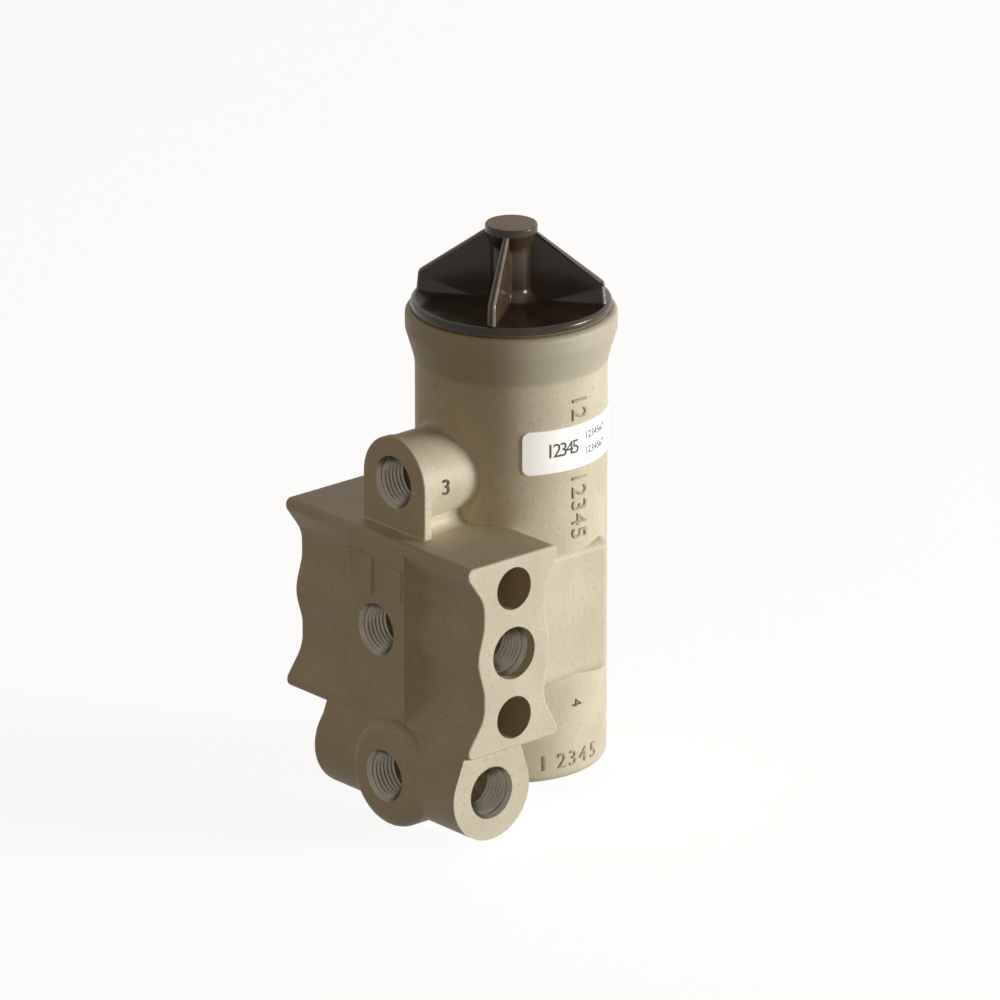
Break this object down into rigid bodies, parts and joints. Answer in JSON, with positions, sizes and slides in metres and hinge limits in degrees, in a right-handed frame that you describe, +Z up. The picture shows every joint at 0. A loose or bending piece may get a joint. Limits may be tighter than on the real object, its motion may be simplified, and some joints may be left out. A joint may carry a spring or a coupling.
{
  "type": "air compressor governor",
  "caption": "Cast body with a bolt-through port block, an upright spring cylinder and a finned screw-in cover over a piston, valve and adjustable spring.",
  "frame": {"origin": "centre of the right mounting face, midway between the two bolt holes", "axes": "+X out of the right mounting face, +Y from the port block to the cylinder, +Z up along the cylinder"},
  "size_m": [0.0554, 0.0594, 0.1161],
  "materials": {
    "cast_aluminium": "as cast, tumbled, warm grey",
    "black_plastic": "moulded, semi-gloss black",
    "seal_rubber": "matt",
    "spring_steel": "oiled",
    "zinc_steel": "zinc plated",
    "stem_brass": "turned",
    "turned_aluminium": "turned",
    "filter_bronze": "sintered",
    "label_film": "satin white"
  },
  "bodies": {
    "body": {"body_casting": "cast_aluminium", "label": "label_film", "retaining_ring": "spring_steel", "upper_spring_seat": "zinc_steel", "pressure_spring": "spring_steel", "unloader_filter": "filter_bronze", "reservoir_filter": "filter_bronze", "valve_spring": "spring_steel"},
    "seal_carrier": {"cover_seal": "seal_rubber"},
    "cover": {"cover": "black_plastic"},
    "lock_nut": {"lock_nut": "zinc_steel"},
    "stem_carrier": {"exhaust_stem": "stem_brass", "exhaust_stem_spring": "spring_steel"},
    "adjusting_screw": {"adjusting_screw": "zinc_steel"},
    "lower_seat": {"lower_spring_seat": "zinc_steel"},
    "piston": {"piston": "turned_aluminium", "piston_o_ring_upper": "seal_rubber", "piston_o_ring_lower": "seal_rubber", "stem_o_ring": "seal_rubber", "stem_washer": "zinc_steel"},
    "valve": {"inlet_exhaust_valve": "stem_brass", "valve_facing": "seal_rubber"}
  },
  "joints": [
    {"name": "cover_lift", "type": "slide", "parent": "body", "child": "seal_carrier", "axis": [0, 0, 1], "range_m": [0, 0.00794]},
    {"name": "cover_turn", "type": "hinge", "parent": "seal_carrier", "child": "cover", "pos_m": [-0.0277, 0.0234, 0.0594], "axis": [0, 0, 1], "range_deg": [0, 900]},
    {"name": "lock_nut_turn", "type": "hinge", "parent": "body", "child": "lock_nut", "pos_m": [-0.0277, 0.0234, 0.051], "axis": [0, 0, 1], "range_deg": [0, 180]},
    {"name": "adjust_travel", "type": "slide", "parent": "body", "child": "stem_carrier", "axis": [0, 0, 1], "range_m": [0, 0.00272]},
    {"name": "adjusting_screw_turn", "type": "hinge", "parent": "stem_carrier", "child": "adjusting_screw", "pos_m": [-0.0277, 0.0234, 0.03], "axis": [0, 0, 1], "range_deg": [0, 1080]},
    {"name": "piston_lift", "type": "slide", "parent": "body", "child": "piston", "axis": [0, 0, 1], "range_m": [0, 0.0022], "stiffness_N_per_m": 600, "springref_m": -0.002, "deforming": ["exhaust_stem_spring"]},
    {"name": "seat_lift", "type": "slide", "parent": "stem_carrier", "child": "lower_seat", "axis": [0, 0, 1], "range_m": [0, 0.0022], "deforming": ["pressure_spring"]},
    {"name": "valve_travel", "type": "slide", "parent": "piston", "child": "valve", "axis": [0, 0, 1], "range_m": [-0.0013, 0], "deforming": ["valve_spring"]}
  ],
  "couplings": [
    {"joint": "cover_turn", "follows": "cover_lift", "rad_per_m": 1979},
    {"joint": "adjusting_screw_turn", "follows": "adjust_travel", "rad_per_m": 6927.4},
    {"joint": "seat_lift", "follows": "piston_lift", "ratio": 1},
    {"joint": "valve_travel", "follows": "piston_lift", "ratio": -0.56}
  ]
}
